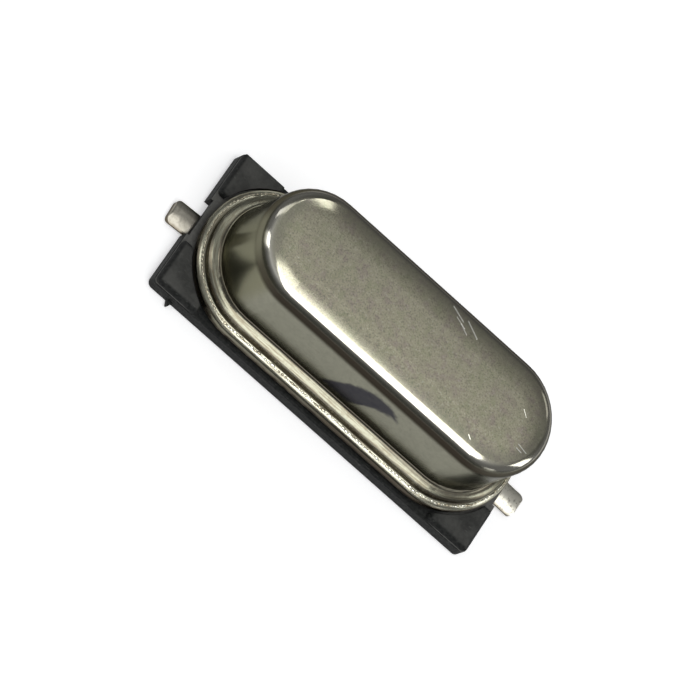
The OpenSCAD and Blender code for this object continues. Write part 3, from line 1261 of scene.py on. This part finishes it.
@dataclass(frozen=True)
class Resonator:
    """The quartz strip, its electrodes, its clips and the dabs that hold it."""

    def build(self) -> None:
        """Dresses the resonator."""
        dress([f"spring_clip_{side.value}" for side in Side], RolledStrip(Slot.CLIP))
        dress(["quartz_blank"], LappedQuartz(Slot.QUARTZ))
        dress(["electrode_front", "electrode_back"], SilverFilm(Slot.FILM))
        dress([f"adhesive_{side.value}" for side in Side], SilverPaste(Slot.DAB))


@dataclass(frozen=True)
class Insulator:
    """The moulded seat under the header."""

    def build(self) -> None:
        """Dresses the insulator."""
        dress(["insulator_base"], BlackMoulding(Slot.INSULATOR))


# ---- Studio ----


def towards(azimuth: float, elevation: float) -> Vector:
    """Finds a direction seen from the part.

    Args:
        azimuth: Degrees round from -Y towards +X.
        elevation: Degrees above the floor.

    Returns:
        The unit vector.
    """
    turn, lift = math.radians(azimuth), math.radians(elevation)
    level = math.cos(lift)
    return Vector((math.sin(turn) * level, -math.cos(turn) * level, math.sin(lift)))


@dataclass(frozen=True)
class Viewpoint:
    """Where the camera stands and what it takes in, in degrees and millimetres.

    It aims at a point above the part's middle, moved aside and up in the picture.
    """

    azimuth: float = -30.15
    elevation: float = 59.45
    roll: float = -68.25
    distance: float = 153.4
    aim_height: float = 2.0
    aside: float = -0.844
    above: float = -0.188
    lens: float = 294.7
    sensor: float = 36.0

    def build(self) -> bpy.types.Object:
        """Makes the camera and puts it in use.

        Returns:
            The camera.
        """
        back = towards(self.azimuth, self.elevation)
        level = towards(self.azimuth + 90, 0)
        upright = back.cross(level)
        turn = math.radians(self.roll)
        right = math.cos(turn) * level - math.sin(turn) * upright
        up = math.sin(turn) * level + math.cos(turn) * upright
        place = Vector((0, 0, self.aim_height)) + right * self.aside + up * self.above
        place += back * self.distance
        data = bpy.data.cameras.new("camera")
        data.lens = self.lens
        data.sensor_width = self.sensor
        data.clip_start = 1 * MM
        data.clip_end = 2.0
        camera = bpy.data.objects.new("camera", data)
        turned = Matrix((right, up, back)).transposed().to_4x4()
        camera.matrix_world = Matrix.Translation(place * MM) @ turned
        bpy.context.scene.collection.objects.link(camera)
        bpy.context.scene.camera = camera
        return camera


@dataclass(frozen=True)
class Softbox:
    """A rectangular or oval soft lamp that faces the part, in degrees and millimetres."""

    name: str
    azimuth: float
    elevation: float
    distance: float
    width: float
    height: float
    radiance: float
    roll: float = 0.0
    oval: bool = False

    def build(self) -> bpy.types.Object:
        """Makes the lamp.

        Returns:
            The lamp.
        """
        data = bpy.data.lights.new(self.name, "AREA")
        data.shape = "ELLIPSE" if self.oval else "RECTANGLE"
        data.size = self.width * MM
        data.size_y = self.height * MM
        area = data.size * data.size_y * (math.pi / 4 if self.oval else 1)
        data.energy = self.radiance * math.pi * area
        lamp = bpy.data.objects.new(self.name, data)
        away = towards(self.azimuth, self.elevation)
        lamp.location = away * self.distance * MM
        rolled = Quaternion((0.0, 0.0, 1.0), math.radians(self.roll))
        lamp.rotation_mode = "QUATERNION"
        lamp.rotation_quaternion = away.to_track_quat("Z", "Y") @ rolled
        bpy.context.scene.collection.objects.link(lamp)
        return lamp


@dataclass(frozen=True)
class Studio:
    """The floor, the lamps, the room's own light and the camera.

    The levels are the room's light by height, from 0 at the horizon to 1 straight overhead.
    """

    floor_size: float = 1200.0
    room: Colour = (0.97, 0.98, 1.0)
    levels: tuple[Point, ...] = (
        (0.0, 0.26), (0.25, 0.22), (0.45, 0.17), (0.60, 0.16),
        (0.72, 0.23), (0.80, 0.39), (0.86, 0.55), (1.0, 0.52),
    )
    lamps: tuple[Softbox, ...] = (
        Softbox("overhead", 36, 71.8, 150, 80, 166, 3.0, roll=-26, oval=True),
        Softbox("left", -83, 46, 150, 38, 46, 3.0),
        Softbox("left_low", -80, 27, 150, 44, 78, 0.9),
        Softbox("far_left", -138, 47, 150, 90, 26, 1.1, roll=-35),
        Softbox("far", 181, 50, 150, 45, 11, 3.8),
        Softbox("far_fill", 150, 37, 150, 110, 60, 0.12),
        Softbox("right", 97, 28, 150, 36, 78, 2.6),
        Softbox("right_low", 52, 11, 150, 34, 46, 1.3),
        Softbox("far_right", 142, 29, 150, 26, 34, 1.0),
    )

    def build(self) -> None:
        """Builds the studio."""
        Viewpoint().build()
        for lamp in self.lamps:
            lamp.build()
        self.build_room()
        self.build_floor()
        LOG.info("studio: %d lamps", len(self.lamps))

    def build_room(self) -> None:
        """Makes the light that the room itself gives, darker low down than overhead."""
        world = bpy.data.worlds.new("room")
        world.use_nodes = True
        bench = Bench(world.node_tree)
        height = bench.split(bench.node("ShaderNodeTexCoord", output="Generated"))[2]
        level = bench.node("ShaderNodeValToRGB", {"stops": self.levels}, {0: height})
        tinted = bench.node(
            "ShaderNodeMix",
            {"data_type": "RGBA", "blend_type": "MULTIPLY"},
            {0: 1.0, 6: level, 7: self.room},
            output=2,
        )
        bench.end("ShaderNodeOutputWorld", bench.node("ShaderNodeBackground", inputs={"Color": tinted}))
        bpy.context.scene.world = world

    def build_floor(self) -> None:
        """Lays the floor just under the feet."""
        half = self.floor_size * MM / 2
        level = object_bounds()[0].z - 0.002 * MM
        corners = [(-half, -half, level), (half, -half, level), (half, half, level), (-half, half, level)]
        mesh = bpy.data.meshes.new("floor")
        mesh.from_pydata(corners, [], [(0, 1, 2, 3)])
        mesh.materials.append(PaleFloor().make())
        floor = bpy.data.objects.new("floor", mesh)
        bpy.context.scene.collection.objects.link(floor)
        floor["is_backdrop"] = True


def main() -> None:
    """Builds the studio and dresses the part."""
    logging.basicConfig(level=logging.INFO, format="%(message)s")
    bpy.context.scene.view_settings.view_transform = "Standard"
    for assembly in (Studio(), Enclosure(), Leads(), Resonator(), Insulator()):
        assembly.build()


if __name__ == "__main__":
    main()
